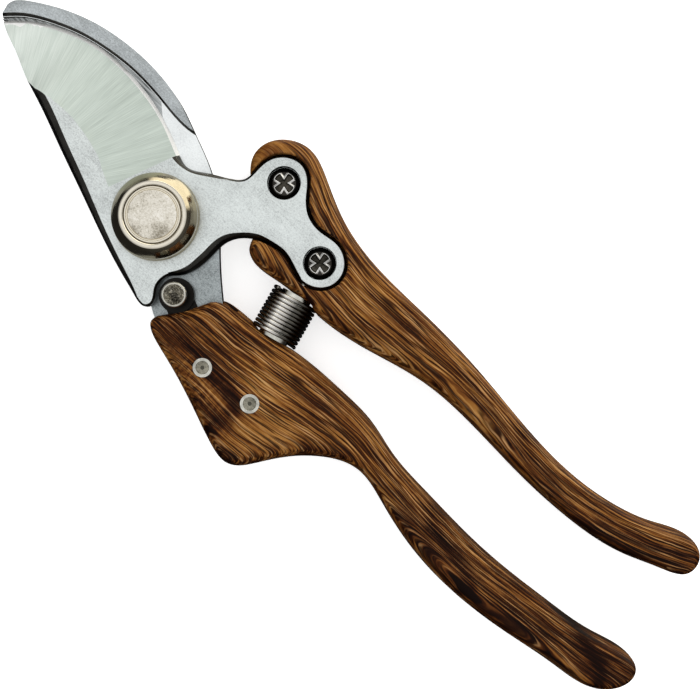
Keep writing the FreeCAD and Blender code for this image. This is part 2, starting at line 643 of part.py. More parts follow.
def main():
    os.makedirs("parts", exist_ok=True)
    nodes = {
        "cutting_blade": cutting_blade(),
        "counter_blade": counter_blade(),
        "upper_handle": upper_handle(),
        "lower_handle": lower_handle(),
        "pivot_bolt": pivot_bolt(),
        "pivot_collar": pivot_collar(),
        "pivot_bush": pivot_bush(),
        "pivot_spring_washer": pivot_spring_washer(),
        "pivot_nut": pivot_nut(),
        "handle_screws": handle_screws(),
        "screw_inserts": screw_inserts(),
        "latch_rivet": rivet(LATCH_PIVOT),
        "rear_rivet": rivet(REAR_RIVET),
        "rivet_washers": rivet_washers(),
        "lock_lever": lock_lever(),
        "lock_stud": lock_stud(),
        "lever_washer": lever_washer(),
        "spring": spring(),
        "lower_spring_peg": lower_spring_peg(),
        "upper_spring_peg": upper_spring_peg(),
    }
    for name, shape in nodes.items():
        shape.exportStep(f"parts/{name}.step")
        print(f"{name:20s} solids {len(shape.Solids)}  volume {shape.Volume:9.1f}")


main()
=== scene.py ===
import math

import bmesh
import bpy
import numpy as np
from mathutils import Matrix, Vector, noise


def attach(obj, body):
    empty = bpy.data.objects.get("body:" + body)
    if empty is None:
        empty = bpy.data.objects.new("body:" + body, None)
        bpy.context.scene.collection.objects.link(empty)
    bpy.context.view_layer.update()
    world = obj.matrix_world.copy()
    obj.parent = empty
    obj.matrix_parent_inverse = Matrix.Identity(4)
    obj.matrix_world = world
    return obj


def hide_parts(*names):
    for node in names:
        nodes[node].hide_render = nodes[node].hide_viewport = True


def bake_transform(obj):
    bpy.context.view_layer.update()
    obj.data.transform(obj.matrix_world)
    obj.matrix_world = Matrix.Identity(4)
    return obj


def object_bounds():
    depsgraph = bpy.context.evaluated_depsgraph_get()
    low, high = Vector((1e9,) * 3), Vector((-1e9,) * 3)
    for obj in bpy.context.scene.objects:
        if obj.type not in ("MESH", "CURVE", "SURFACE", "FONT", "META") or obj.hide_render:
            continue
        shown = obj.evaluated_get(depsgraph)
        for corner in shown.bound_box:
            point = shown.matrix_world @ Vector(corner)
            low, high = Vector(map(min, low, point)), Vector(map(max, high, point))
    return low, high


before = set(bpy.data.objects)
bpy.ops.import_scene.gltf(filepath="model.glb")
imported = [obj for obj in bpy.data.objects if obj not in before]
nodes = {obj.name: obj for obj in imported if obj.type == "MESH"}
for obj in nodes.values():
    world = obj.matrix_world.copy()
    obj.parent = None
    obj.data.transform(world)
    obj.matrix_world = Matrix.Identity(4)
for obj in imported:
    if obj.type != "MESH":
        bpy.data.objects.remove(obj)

cad_low, cad_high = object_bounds()
MM = 0.001

# Places of the CAD parts, repeated from the part's source, in millimetres.
PIVOT = (0.0, 0.0)
EARS = ((-15.8, -25.1), (-33.9, -17.4))
FRONT_RIVET = (-30.7, 17.5)
REAR_RIVET = (-43.9, 16.2)
LATCH_STUD = (-15.2, 9.8)
SPRING_FOOT = Vector((-37.2, 1.3, 6.9))
SPRING_HEAD = Vector((-35.1, -7.7, 6.9))
PLATE_TOP = 11.45
PLATE_BOTTOM = 8.05


# ---------------------------------------------------------------- node trees
class Shader:
    """A small writer for node trees: each call adds a node and returns one of its outputs."""

    def __init__(self, name, tree=None):
        if tree is None:
            self.material = bpy.data.materials.new(name)
            self.material.use_nodes = True
            tree = self.material.node_tree
            tree.nodes.clear()
        self.tree = tree

    def node(self, kind, inputs=None, out=0, **settings):
        n = self.tree.nodes.new(kind)
        for key, value in settings.items():
            setattr(n, key, value)
        for key, value in (inputs or {}).items():
            socket = n.inputs[key]
            if isinstance(value, bpy.types.NodeSocket):
                self.tree.links.new(value, socket)
            else:
                socket.default_value = value
        return n.outputs[out]

    def math(self, operation, a, b=0.0, c=0.0):
        return self.node("ShaderNodeMath", {0: a, 1: b, 2: c}, operation=operation)

    def scaled(self, a, factors):
        return self.node("ShaderNodeVectorMath", {0: a, 1: factors}, operation="MULTIPLY")

    def position(self):
        """Place on the object in millimetres."""
        place = self.node("ShaderNodeTexCoord", out=3)
        return self.scaled(place, (1000, 1000, 1000))

    def attribute(self, name, out=1):
        return self.node("ShaderNodeAttribute", out=out, attribute_name=name)

    def split(self, v):
        n = self.tree.nodes.new("ShaderNodeSeparateXYZ")
        self.tree.links.new(v, n.inputs[0])
        return n.outputs[0], n.outputs[1], n.outputs[2]

    def join(self, x, y, z):
        return self.node("ShaderNodeCombineXYZ", {0: x, 1: y, 2: z})

    def noise(self, v, scale=1.0, detail=2.0, roughness=0.5):
        return self.node("ShaderNodeTexNoise", {"Vector": v, "Scale": scale, "Detail": detail,
                                                "Roughness": roughness})

    def remap(self, v, low, high, to_low=0.0, to_high=1.0):
        return self.node("ShaderNodeMapRange", {0: v, 1: low, 2: high, 3: to_low, 4: to_high}, clamp=True)

    def ramp(self, v, stops):
        n = self.tree.nodes.new("ShaderNodeValToRGB")
        elements = n.color_ramp.elements
        while len(elements) < len(stops):
            elements.new(0.5)
        for element, (place, colour) in zip(elements, stops):
            element.position = place
            element.color = (*colour, 1)
        self.tree.links.new(v, n.inputs[0])
        return n.outputs[0]

    def mix(self, factor, a, b):
        n = self.tree.nodes.new("ShaderNodeMix")
        n.data_type = "RGBA"
        for key, value in ((0, factor), (6, a), (7, b)):
            if isinstance(value, bpy.types.NodeSocket):
                self.tree.links.new(value, n.inputs[key])
            elif key == 0:
                n.inputs[key].default_value = value
            else:
                n.inputs[key].default_value = (*value, 1)
        return n.outputs[2]

    def bump(self, height, distance, strength):
        inputs = {"Height": height, "Distance": distance * MM, "Strength": strength}
        return self.node("ShaderNodeBump", inputs)

    def finish(self, inputs):
        bsdf = self.tree.nodes.new("ShaderNodeBsdfPrincipled")
        for key, value in inputs.items():
            if isinstance(value, bpy.types.NodeSocket):
                self.tree.links.new(value, bsdf.inputs[key])
            elif isinstance(value, tuple) and len(value) == 3:
                bsdf.inputs[key].default_value = (*value, 1)
            else:
                bsdf.inputs[key].default_value = value
        output = self.tree.nodes.new("ShaderNodeOutputMaterial")
        self.tree.links.new(bsdf.outputs[0], output.inputs[0])
        return self.material


# ---------------------------------------------------------------- mesh tools
def mesh_object(name, verts, faces, smooth=True):
    """A mesh object from points in millimetres."""
    mesh = bpy.data.meshes.new(name)
    mesh.from_pydata([tuple(c * MM for c in v) for v in verts], [], faces)
    mesh.update()
    mesh.polygons.foreach_set("use_smooth", [smooth] * len(mesh.polygons))
    piece = bpy.data.objects.new(name, mesh)
    bpy.context.scene.collection.objects.link(piece)
    return piece


def rounded_profile(profile, radius):
    """The profile with each inner corner replaced by a small curve that starts radius away at most."""
    steps = 4
    points = [Vector(p) for p in profile]
    out = [points[0]]
    for before, corner, after in zip(points, points[1:], points[2:]):
        to_before, to_after = before - corner, after - corner
        reach = min(radius, to_before.length * 0.45, to_after.length * 0.45)
        start = corner + to_before.normalized() * reach
        end = corner + to_after.normalized() * reach
        for i in range(steps + 1):
            t = i / steps
            out.append(start * (1 - t) ** 2 + corner * 2 * t * (1 - t) + end * t ** 2)
    out.append(points[-1])
    return out


def lathed(name, centre, profile, corner_radius):
    """A turned piece: profile is (radius, height) pairs from the axis out and back, in millimetres."""
    segments = 192
    verts, faces, rings = [], [], []
    for r, z in rounded_profile(profile, corner_radius):
        if r < 1e-6:
            rings.append([len(verts)])
            verts.append((centre[0], centre[1], z))
            continue
        rings.append(list(range(len(verts), len(verts) + segments)))
        for i in range(segments):
            a = 2 * math.pi * i / segments
            verts.append((centre[0] + r * math.cos(a), centre[1] + r * math.sin(a), z))
    for low, high in zip(rings, rings[1:]):
        for i in range(segments):
            j = (i + 1) % segments
            if len(low) == 1:
                faces.append((low[0], high[j], high[i]))
            elif len(high) == 1:
                faces.append((low[i], low[j], high[0]))
            else:
                faces.append((low[i], low[j], high[j], high[i]))
    piece = mesh_object(name, verts, faces)
    outward(piece)
    return piece


def outward(piece):
    """Makes every face of a closed mesh look outwards."""
    bm = bmesh.new()
    bm.from_mesh(piece.data)
    bmesh.ops.recalc_face_normals(bm, faces=bm.faces)
    bm.to_mesh(piece.data)
    bm.free()


def apply_modifiers(piece):
    depsgraph = bpy.context.evaluated_depsgraph_get()
    mesh = bpy.data.meshes.new_from_object(piece.evaluated_get(depsgraph))
    piece.modifiers.clear()
    old = piece.data
    piece.data = mesh
    bpy.data.meshes.remove(old)


def coordinates(mesh):
    """The places of the mesh's vertices in millimetres, one row each."""
    co = np.empty(len(mesh.vertices) * 3, np.float32)
    mesh.vertices.foreach_get("co", co)
    return co.reshape(-1, 3).astype(float) / MM


def copied(node, name):
    """A copy of a CAD node's mesh that stands in for the node."""
    piece = bpy.data.objects.new(name, nodes[node].data.copy())
    bpy.context.scene.collection.objects.link(piece)
    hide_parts(node)
    return piece


def shade(piece, *materials):
    piece.data.materials.clear()
    for material in materials:
        piece.data.materials.append(material)


def place(piece, body, slot):
    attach(piece, body)


# ---------------------------------------------------------------- wood
UPPER_LINE = ((-4.0, -26.0), (-14.0, -26.0), (-26.0, -20.0), (-38.0, -17.0), (-52.0, -17.3), (-66.0, -19.0),
              (-84.0, -18.9), (-100.0, -17.5), (-115.0, -17.9), (-128.0, -20.8), (-138.0, -24.5),
              (-148.0, -28.5))
LOWER_LINE = ((0.0, 16.5), (-14.0, 14.0), (-26.0, 12.0), (-40.0, 11.5), (-54.0, 8.0), (-66.0, 5.6),
              (-78.0, 7.4), (-92.0, 10.0), (-106.0, 10.6), (-120.0, 9.2), (-134.0, 7.2), (-144.0, 5.0),
              (-154.0, 2.8))
# The two long sides of each handle, head to tail: the grain runs between them.
UPPER_SIDES = (((0.0, -36.5), (-14.5, -35.3), (-20.6, -33.4), (-31.0, -28.5), (-43.0, -25.9), (-58.0, -25.4),
                (-76.0, -24.4), (-95.0, -22.0), (-108.0, -21.5), (-120.0, -23.1), (-130.0, -26.6),
                (-140.0, -31.0)),
               ((4.0, -20.0), (-7.6, -19.5), (-19.0, -10.5), (-30.0, -8.0), (-42.0, -8.3), (-55.0, -10.3),
                (-69.0, -13.6), (-84.0, -14.1), (-100.0, -13.2), (-115.0, -13.5), (-128.0, -15.8),
                (-146.0, -22.0)))
LOWER_SIDES = (((-8.0, 4.0), (-22.4, 3.0), (-33.0, 2.3), (-44.0, 0.7), (-58.0, 0.1), (-67.0, 0.6),
                (-75.0, 2.7), (-86.0, 3.8), (-99.0, 4.5), (-112.0, 4.3), (-124.0, 3.2), (-136.0, 1.5),
                (-150.0, -1.5)),
               ((-8.0, 20.0), (-22.0, 22.5), (-33.0, 26.0), (-44.0, 30.0), (-50.0, 29.5), (-54.5, 25.0),
                (-60.0, 17.5), (-66.0, 12.8), (-73.0, 10.9), (-82.0, 13.0), (-92.0, 15.5), (-106.0, 16.5),
                (-120.0, 15.2), (-134.0, 13.0), (-150.0, 9.5)))


def sampled(points, per_span=24):
    """A smooth line through the points (Catmull-Rom), as an array."""
    pts = [Vector(p) for p in points]
    pts = [pts[0] * 2 - pts[1]] + pts + [pts[-1] * 2 - pts[-2]]
    out = []
    for a, b, c, d in zip(pts, pts[1:], pts[2:], pts[3:]):
        for i in range(per_span):
            t = i / per_span
            out.append(0.5 * ((2 * b) + (c - a) * t + (2 * a - 5 * b + 4 * c - d) * t * t
                              + (3 * b - a - 3 * c + d) * t ** 3))
    out.append(pts[-2])
    return np.array([tuple(p) for p in out])


def along_across(co, line):
    """Distance along a line, and signed distance from it, for points in millimetres."""
    steps = np.diff(line, axis=0)
    lengths = np.linalg.norm(steps, axis=1)
    starts = np.concatenate([[0], np.cumsum(lengths)[:-1]])
    along = np.empty(len(co))
    across = np.empty(len(co))
    for first in range(0, len(co), 20000):
        part = co[first:first + 20000, :2]
        rel = part[:, None, :] - line[None, :-1, :]
        t = np.clip((rel * steps).sum(2) / lengths ** 2, 0, 1)
        gap = rel - t[:, :, None] * steps
        distance = np.hypot(gap[:, :, 0], gap[:, :, 1])
        best = distance.argmin(1)
        rows = np.arange(len(part))
        along[first:first + 20000] = starts[best] + t[rows, best] * lengths[best]
        side = steps[best, 0] * gap[rows, best, 1] - steps[best, 1] * gap[rows, best, 0]
        across[first:first + 20000] = distance[rows, best] * np.sign(side)
    return along, across


def soft_distance(co, points):
    """Distance from a line, without creases: the line's corners are felt as rounded."""
    line = sampled(points, 9)
    weight = np.linalg.norm(np.gradient(line, axis=0), axis=1) / (math.pi / 2)
    out = np.empty(len(co))
    for first in range(0, len(co), 20000):
        part = co[first:first + 20000, :2]
        gap = np.sqrt(((part[:, None, :] - line[None]) ** 2).sum(2) + 3.2)
        out[first:first + 20000] = ((gap ** -4) @ weight) ** (-1 / 3)
    return out


def near_line(co, points, width):
    """1 on a line through the points (x, y), falling smoothly to 0 about width away."""
    _, across = along_across(co, sampled(points, 8))
    return np.exp(-(across / width) ** 2)


def spot(u, v, centre_u, centre_v, reach_u, reach_v):
    return np.exp(-((u - centre_u) / reach_u) ** 2 - ((v - centre_v) / reach_v) ** 2)


def upper_figure(co, u, v):
    """The grain's eyes, its tone (dark to golden) and the plain patch on the horn, for each place."""
    eyes = 2.2 * spot(u, v, 76, -0.5, 10, 1.3) + 1.9 * spot(u, v, 88, -0.9, 9, 1.1)
    tone = (0.10 * spot(u, v, 90, -2.6, 12, 2.6) - 0.10 * spot(u, v, 80, -0.4, 3, 0.9)
            - 0.13 * spot(u, v, 118, -3.6, 18, 2.6) - 0.12 * spot(u, v, 92.5, -0.9, 3, 0.6)
            - 0.10 * np.clip((u - 60) / 60, 0, 1) + 0.05 * spot(u, v, 60, -4, 14, 4))
    horn = np.exp(-((co[:, 0] + 7.0) / 5.5) ** 2 - ((co[:, 1] + 27.0) / 7.0) ** 2)
    return eyes, tone + 0.10 * horn, horn


def lower_figure(co, u, v):
    """The grain's eyes, its tone and the curly patch beside the rivets, for each place."""
    eyes = (2.0 * spot(u, v, 30, -11, 11, 5.5) + 3.4 * spot(u, v, 99, -1.6, 12, 2.2)
            + 5.0 * spot(u, v, 121, -1.4, 19, 3.0))
    smoke = near_line(co, ((-14.0, 13.6), (-22.3, 15.0), (-27.5, 15.8), (-35.3, 16.4), (-40.5, 17.6),
                           (-42.2, 20.5), (-41.4, 24.6), (-41.0, 29.0)), 2.2)
    first = near_line(co, ((-92.0, 9.0), (-97.0, 9.6), (-101.5, 10.4), (-105.3, 11.5), (-107.8, 12.3),
                           (-106.4, 14.8)), 1.3)
    second = near_line(co, ((-124.0, 2.2), (-130.0, 3.0), (-135.0, 4.1), (-139.0, 5.6), (-142.0, 7.6),
                            (-143.0, 10.0)), 1.5)
    tone = (-0.26 * smoke - 0.20 * first - 0.24 * second + 0.15 * spot(u, v, 49, -9, 7, 6)
            + 0.12 * spot(u, v, 44, -2.5, 5, 2.2) - 0.16 * spot(u, v, 108.5, -2.8, 3.2, 2.0)
            - 0.16 * spot(u, v, 127, -1.6, 5, 1.5) + 0.10 * spot(u, v, 104, -0.9, 3, 0.9)
            + 0.06 * spot(u, v, 134, -0.6, 7, 2.4)
            - 0.17 * near_line(co, ((-47.0, 31.5), (-51.5, 29.0), (-55.0, 24.5), (-60.0, 17.0),
                                  (-66.0, 12.4)), 2.4)
            - 0.16 * np.clip((u - 62) / 75, 0, 1))
    curl = np.exp(-((co[:, 0] + 31.0) / 11.0) ** 2 - ((co[:, 1] - 24.0) / 6.0) ** 2)
    return eyes, tone, curl


def handle(node, name, line, sides, figure, wood):
    """A carved handle: a dense, softened copy of its blank that carries the run of its grain."""
    piece = copied(node, name)
    remesh = piece.modifiers.new("dense", "REMESH")
    remesh.mode = "VOXEL"
    remesh.voxel_size = 0.3 * MM
    smooth = piece.modifiers.new("smooth", "SMOOTH")
    smooth.factor = 0.5
    smooth.iterations = 3
    apply_modifiers(piece)
    co = coordinates(piece.data)
    u, v = along_across(co, sampled(line))
    first, second = soft_distance(co, sides[0]), soft_distance(co, sides[1])
    share = first / (first + second)
    eyes, tone, patch = figure(co, u, v)
    # the grain is the field's level lines: they keep to the sides of the handle, bend round the eyes,
    # and the height term turns them along its flanks
    field = 0.7 * first + 5.0 * share + 0.6 * eyes + 0.75 * co[:, 2]
    for key, data in (("grain", (u, field, co[:, 2])), ("figure", (tone, patch, v))):
        attribute = piece.data.attributes.new(key, "FLOAT_VECTOR", "POINT")
        attribute.data.foreach_set("vector", np.column_stack(data).astype(np.float32).ravel())
    piece.data.polygons.foreach_set("use_smooth", [True] * len(piece.data.polygons))
    shade(piece, wood)
    return piece


def wood_material(name, plain_patch):
    """Oiled rosewood. The grain attribute is distance along the handle, grain field and height, in mm."""
    s = Shader(name)
    u, f, w = s.split(s.attribute("grain"))
    tone, patch, v = s.split(s.attribute("figure"))
    raw = s.join(u, f, w)
    drift = s.noise(s.scaled(raw, (0.030, 0.09, 0.10)), 1.0, 1.0, 0.5)
    wobble = s.noise(s.scaled(raw, (0.13, 0.40, 0.2)), 1.0, 2.0, 0.5)
    run = s.math("ADD", f, s.math("ADD", s.math("MULTIPLY_ADD", drift, 1.8, -0.9),
                                  s.math("MULTIPLY_ADD", wobble, 0.8, -0.4)))
    lines = s.join(u, run, w)
    broad = s.noise(s.scaled(lines, (0.020, 0.32, 0.10)), 1.0, 2.0, 0.5)
    middle = s.noise(s.scaled(lines, (0.035, 1.4, 0.25)), 1.0, 2.0, 0.55)
    fine = s.noise(s.scaled(lines, (0.08, 3.3, 0.6)), 1.0, 2.0, 0.6)
    thread = s.noise(s.scaled(lines, (0.08, 3.5, 0.9)), 1.0, 1.0, 0.5)
    pores = s.noise(s.scaled(lines, (0.09, 3.4, 1.0)), 1.0, 1.0, 0.5)
    curl = s.noise(s.scaled(s.join(u, v, w), (1.1, 0.55, 0.4)), 1.0, 3.0, 0.6)
    value = s.math("MULTIPLY_ADD", s.math("SUBTRACT", broad, 0.5), 0.55, 0.465)
    value = s.math("MULTIPLY_ADD", s.math("SUBTRACT", middle, 0.5), 0.55, value)
    calm = s.math("SUBTRACT", 1.0, s.math("MULTIPLY", patch, 0.85 if plain_patch else 0.35))
    value = s.math("MULTIPLY_ADD", s.math("MULTIPLY", s.math("SUBTRACT", fine, 0.5), calm), 1.50, value)
    curl_depth = 0.10 if plain_patch else s.math("MULTIPLY_ADD", patch, 0.75, 0.12)
    value = s.math("MULTIPLY_ADD", s.math("SUBTRACT", curl, 0.5), curl_depth, value)
    value = s.math("ADD", value, tone)
    colour = s.ramp(value, ((0.16, (0.0050, 0.0012, 0.0004)), (0.32, (0.045, 0.0110, 0.0022)),
                            (0.48, (0.150, 0.050, 0.0100)), (0.62, (0.270, 0.112, 0.0230)),
                            (0.78, (0.410, 0.200, 0.0560)), (0.92, (0.520, 0.300, 0.1200))))
    light = s.math("MULTIPLY", s.remap(thread, 0.55, 0.68, 0, 0.75), calm)
    light = s.math("MULTIPLY", light, s.remap(value, 0.20, 0.50))
    colour = s.mix(light, colour, (0.52, 0.290, 0.120))
    dark = s.math("MULTIPLY", s.remap(pores, 0.50, 0.60, 0, 0.86), calm)
    colour = s.mix(dark, colour, (0.010, 0.0022, 0.0007))
    height = s.math("SUBTRACT", s.math("MULTIPLY", fine, 0.5), s.math("MULTIPLY", dark, 0.6))
    rough = s.remap(fine, 0.3, 0.7, 0.42, 0.55)
    return s.finish({"Base Color": colour, "Roughness": rough, "Specular IOR Level": 0.06,
                     "Normal": s.bump(height, 0.05, 0.6)})


# ---------------------------------------------------------------- metals
def blasted_steel(name, colour, rough, dark, bright, painted_shade_colour=None):
    """Bead-blasted plate: fine speckle, faint rolling marks and soft cloudy patches.

    The last argument, if given, is painted shade: behind the pivot the plate darkens to that colour.
    """
    s = Shader(name)
    p = s.position()
    speck = s.noise(p, 3.2, 3.0, 0.8)
    cloud = s.noise(p, 0.13, 3.0, 0.55)
    marks = s.noise(s.scaled(p, (0.40, 3.2, 1.0)), 1.0, 3.0, 0.6)
    value = s.math("MULTIPLY_ADD", s.math("SUBTRACT", speck, 0.5), 1.7, 0.5)
    value = s.math("MULTIPLY_ADD", s.math("SUBTRACT", cloud, 0.5), 0.75, value)
    value = s.math("MULTIPLY_ADD", s.math("SUBTRACT", marks, 0.5), 0.55, value)
    low = tuple(c * dark for c in colour)
    high = tuple(min(1.0, c * bright) for c in colour)
    colours = s.ramp(value, ((0.15, low), (0.5, colour), (0.85, high)))
    if painted_shade_colour:
        painted_shade_tones = s.ramp(value, ((0.15, tuple(c * 0.45 for c in painted_shade_colour)), (0.5, painted_shade_colour),
                                 (0.85, tuple(c * 1.5 for c in painted_shade_colour))))
        # painted shade behind the pivot
        colours = s.mix(s.remap(s.split(p)[0], 1.0, -8.0), colours, painted_shade_tones)
    return s.finish({"Base Color": colours, "Metallic": 1.0,
                     "Roughness": s.remap(speck, 0.3, 0.7, rough - 0.06, rough + 0.06),
                     "Normal": s.bump(s.math("ADD", speck, s.math("MULTIPLY", marks, 0.5)), 0.05, 0.8)})


def ground_steel(name):
    """The ground face: fine grinding lines, all square to the curved cutting edge."""
    s = Shader(name)
    x, y, _ = s.split(s.position())
    # the lines run out from the middle of the edge's curve
    dx = s.math("SUBTRACT", x, 29.0)
    dy = s.math("SUBTRACT", y, 21.0)
    angle = s.math("MULTIPLY", s.math("ARCTAN2", dx, s.math("MULTIPLY", dy, -1.0)), 38.0)
    radius = s.math("SQRT", s.math("ADD", s.math("MULTIPLY", dx, dx), s.math("MULTIPLY", dy, dy)))
    sway = s.noise(s.join(s.math("MULTIPLY", angle, 0.12), 0.0, 0.0), 1.0, 1.0)
    bend = s.math("MULTIPLY_ADD", sway, 3.0, radius)
    polar = s.join(angle, bend, 0.0)
    broad = s.noise(s.scaled(polar, (0.45, 0.03, 1.0)), 1.0, 3.0, 0.6)
    lines = s.noise(s.scaled(polar, (3.4, 0.06, 1.0)), 1.0, 3.0, 0.65)
    fine = s.noise(s.scaled(polar, (7.5, 0.15, 1.0)), 1.0, 2.0, 0.6)
    value = s.math("MULTIPLY_ADD", s.math("SUBTRACT", lines, 0.5), 0.55, 0.44)
    value = s.math("MULTIPLY_ADD", s.math("SUBTRACT", fine, 0.5), 0.60, value)
    value = s.math("MULTIPLY_ADD", s.math("SUBTRACT", broad, 0.5), 0.45, value)
    value = s.math("ADD", value, s.remap(x, 24.0, 52.0, -0.06, 0.24))
    colours = s.ramp(value, ((0.12, (0.43, 0.49, 0.44)), (0.5, (0.64, 0.71, 0.65)),
                             (0.9, (0.90, 0.95, 0.90))))
    return s.finish({"Base Color": colours, "Metallic": 1.0,
                     "Roughness": s.remap(lines, 0.3, 0.7, 0.42, 0.54),
                     "Normal": s.bump(s.math("ADD", lines, fine), 0.02, 0.5)})


def smooth_metal(name, colour, rough, grain=0.02, scale=5.0, wear_and_shade=0.85):
    """Plated or polished metal with faint handling marks."""
    s = Shader(name)
    p = s.position()
    marks = s.noise(p, scale, 4.0, 0.65)
    cloud = s.noise(p, 0.35, 2.0, 0.5)
    low = tuple(c * wear_and_shade for c in colour)
    both = s.math("ADD", s.math("MULTIPLY", marks, 0.5), s.math("MULTIPLY", cloud, 0.5))
    tint = s.mix(s.remap(both, 0.35, 0.65), low, colour)
    return s.finish({"Base Color": tint, "Metallic": 1.0,
                     "Roughness": s.remap(marks, 0.3, 0.7, rough * 0.8, rough * 1.25),
                     "Normal": s.bump(marks, grain, 0.5)})


# Painted light on the spring wire, by place across its axis: painted shade, a painted highlight, then deep
# painted shade.
SPRING_PAINTED_LIGHT_TONES = ((0.0, (0.10, 0.095, 0.085)), (0.18, (0.25, 0.24, 0.22)), (0.34, (0.80, 0.78, 0.74)),
                (0.46, (0.55, 0.53, 0.50)), (0.62, (0.10, 0.095, 0.085)), (0.8, (0.05, 0.046, 0.04)),
                (1.0, (0.03, 0.028, 0.025)))


def spring_painted_light(name):
    """Plated spring wire with painted light: a painted highlight down one side of the coils and painted
    shade over the other.
    """
    s = Shader(name)
    across = s.attribute("across", 2)
    marks = s.noise(s.position(), 4.0, 3.0, 0.6)
    place_across = s.math("MULTIPLY_ADD", s.math("SUBTRACT", marks, 0.5), 0.2, across)
    colours = s.ramp(s.remap(place_across, -1.0, 1.0), SPRING_PAINTED_LIGHT_TONES)
    return s.finish({"Base Color": colours, "Metallic": 1.0,
                     "Roughness": s.remap(marks, 0.3, 0.7, 0.13, 0.22)})


def groove_painted_shade(name):
    """The sap groove, streaked along its length, with painted shade that is darkest at the tip and lifts
    where the groove runs out.
    """
    s = Shader(name)
    p = s.position()
    x = s.split(p)[0]
    streak = s.noise(s.scaled(p, (0.12, 1.6, 1.0)), 1.0, 3.0, 0.6)
    # painted shade along the groove, by x
    base = s.ramp(s.remap(x, 13.0, 60.0), ((0.0, (0.62, 0.65, 0.65)), (0.10, (0.30, 0.32, 0.32)),
                                           (0.20, (0.10, 0.11, 0.11)), (0.34, (0.34, 0.36, 0.36)),
                                           (0.60, (0.24, 0.255, 0.25)), (1.0, (0.03, 0.03, 0.028))))
    colours = s.mix(s.remap(streak, 0.42, 0.66, 0.0, 0.55), base, (0.75, 0.78, 0.78))
    return s.finish({"Base Color": colours, "Metallic": 1.0,
                     "Roughness": s.remap(streak, 0.3, 0.7, 0.2, 0.34),
                     "Normal": s.bump(streak, 0.03, 0.5)})


def satin_cap(name):
    """The bolt's satin face: warm, grainy and slightly pitted."""
    s = Shader(name)
    p = s.position()
    grit = s.noise(p, 2.7, 4.0, 0.75)
    cloud = s.noise(p, 0.22, 2.0, 0.5)
    value = s.math("MULTIPLY_ADD", s.math("SUBTRACT", grit, 0.5), 1.1, cloud)
    x, y, _ = s.split(p)
    # painted shade: the disc is darker towards its lower right
    lower_right = s.math("SUBTRACT", s.math("MULTIPLY", x, -0.55), s.math("MULTIPLY", y, -0.85))
    wear_and_shade = s.remap(lower_right, 0.5, 5.5, 0.0, 0.16)
    value = s.math("SUBTRACT", value, wear_and_shade)
    colours = s.ramp(value, ((0.2, (0.30, 0.27, 0.21)), (0.45, (0.70, 0.66, 0.57)),
                             (0.75, (0.97, 0.94, 0.87))))
    return s.finish({"Base Color": colours, "Metallic": 1.0, "Roughness": s.remap(grit, 0.3, 0.7, 0.34, 0.5),
                     "Normal": s.bump(grit, 0.10, 0.8)})


# ---------------------------------------------------------------- plates
def plate(node, name, materials, zone, edge_width):
    """A plate with its sharp edges broken, and each face in the material that zone(centre, normal) names."""
    piece = copied(node, name)
    bm = bmesh.new()
    bm.from_mesh(piece.data)
    bmesh.ops.remove_doubles(bm, verts=bm.verts, dist=0.0015 * MM)
    bmesh.ops.dissolve_limit(bm, angle_limit=math.radians(0.08), verts=bm.verts, edges=bm.edges)
    for face in bm.faces:
        face.material_index = zone(face.calc_center_bounds() / MM, face.normal)
    sharp = [e for e in bm.edges if len(e.link_faces) == 2 and e.calc_face_angle() > math.radians(14)]
    bmesh.ops.bevel(bm, geom=sharp, offset=edge_width * MM, offset_type="OFFSET", segments=2, profile=0.5,
                    affect="EDGES", clamp_overlap=True, material=len(materials) - 1)
    bmesh.ops.recalc_face_normals(bm, faces=bm.faces)
    bmesh.ops.triangulate(bm, faces=[f for f in bm.faces if len(f.verts) > 4])
    bm.to_mesh(piece.data)
    bm.free()
    return finished(piece, materials)


def finished(piece, materials, sharp=32):
    if "custom_normal" in piece.data.attributes:
        piece.data.attributes.remove(piece.data.attributes["custom_normal"])
    piece.data.polygons.foreach_set("use_smooth", [True] * len(piece.data.polygons))
    piece.data.set_sharp_from_angle(angle=math.radians(sharp))
    indices = [p.material_index for p in piece.data.polygons]
    shade(piece, *materials)
    piece.data.polygons.foreach_set("material_index", indices)
    return piece


# Slots of the blade's materials, before the last one, which broken edges take; SIDE, the side walls, takes
# painted shade. Then the cutting edge.
FLAT, GROUND, HONE, SIDE = range(4)
HONE_WIDTH = 0.92
EDGE_LINE = sampled(((6.9, -14.4), (9.4, -15.3), (13.6, -17.0), (18.2, -18.4), (24.5, -19.5), (31.0, -19.8),
                     (38.0, -19.1), (45.5, -16.5), (50.2, -13.9), (53.8, -11.1), (56.2, -8.9)))


def blade_zone(centre, normal):
    """The blade's slot for a face: the honed strip and the ground bevel lie along the cutting edge."""
    if normal.z > 0.9995 or normal.z < -0.9:
        return FLAT
    if centre.x < 5.5 or centre.y > 5.0 or normal.z < 0.6:
        return SIDE
    _, across = along_across(np.array([[centre.x, centre.y, 0.0]]), EDGE_LINE)
    if abs(across[0]) < HONE_WIDTH:
        return HONE
    return GROUND if normal.z > 0.93 else SIDE


# Slots of the counter blade's materials, before the one for broken edges; HOOK_SIDE, the side walls, takes
# painted shade.
HOOK_FLAT, HOOK_SLIDE, HOOK_GROOVE, HOOK_SIDE = range(4)


def hook_zone(centre, normal):
    """The counter blade's slot for a face, by its height: raised band, sap groove or sliding face."""
    if normal.z > 0.99 and centre.z > 9.0:
        return HOOK_FLAT
    if normal.z > 0.99 and centre.z < 7.5:
        return HOOK_GROOVE
    if abs(normal.z) > 0.99 or (13.0 < centre.x < 18.5 and 6.8 < centre.z < 8.05 and normal.x > 0.3):
        return HOOK_SLIDE
    return HOOK_SIDE


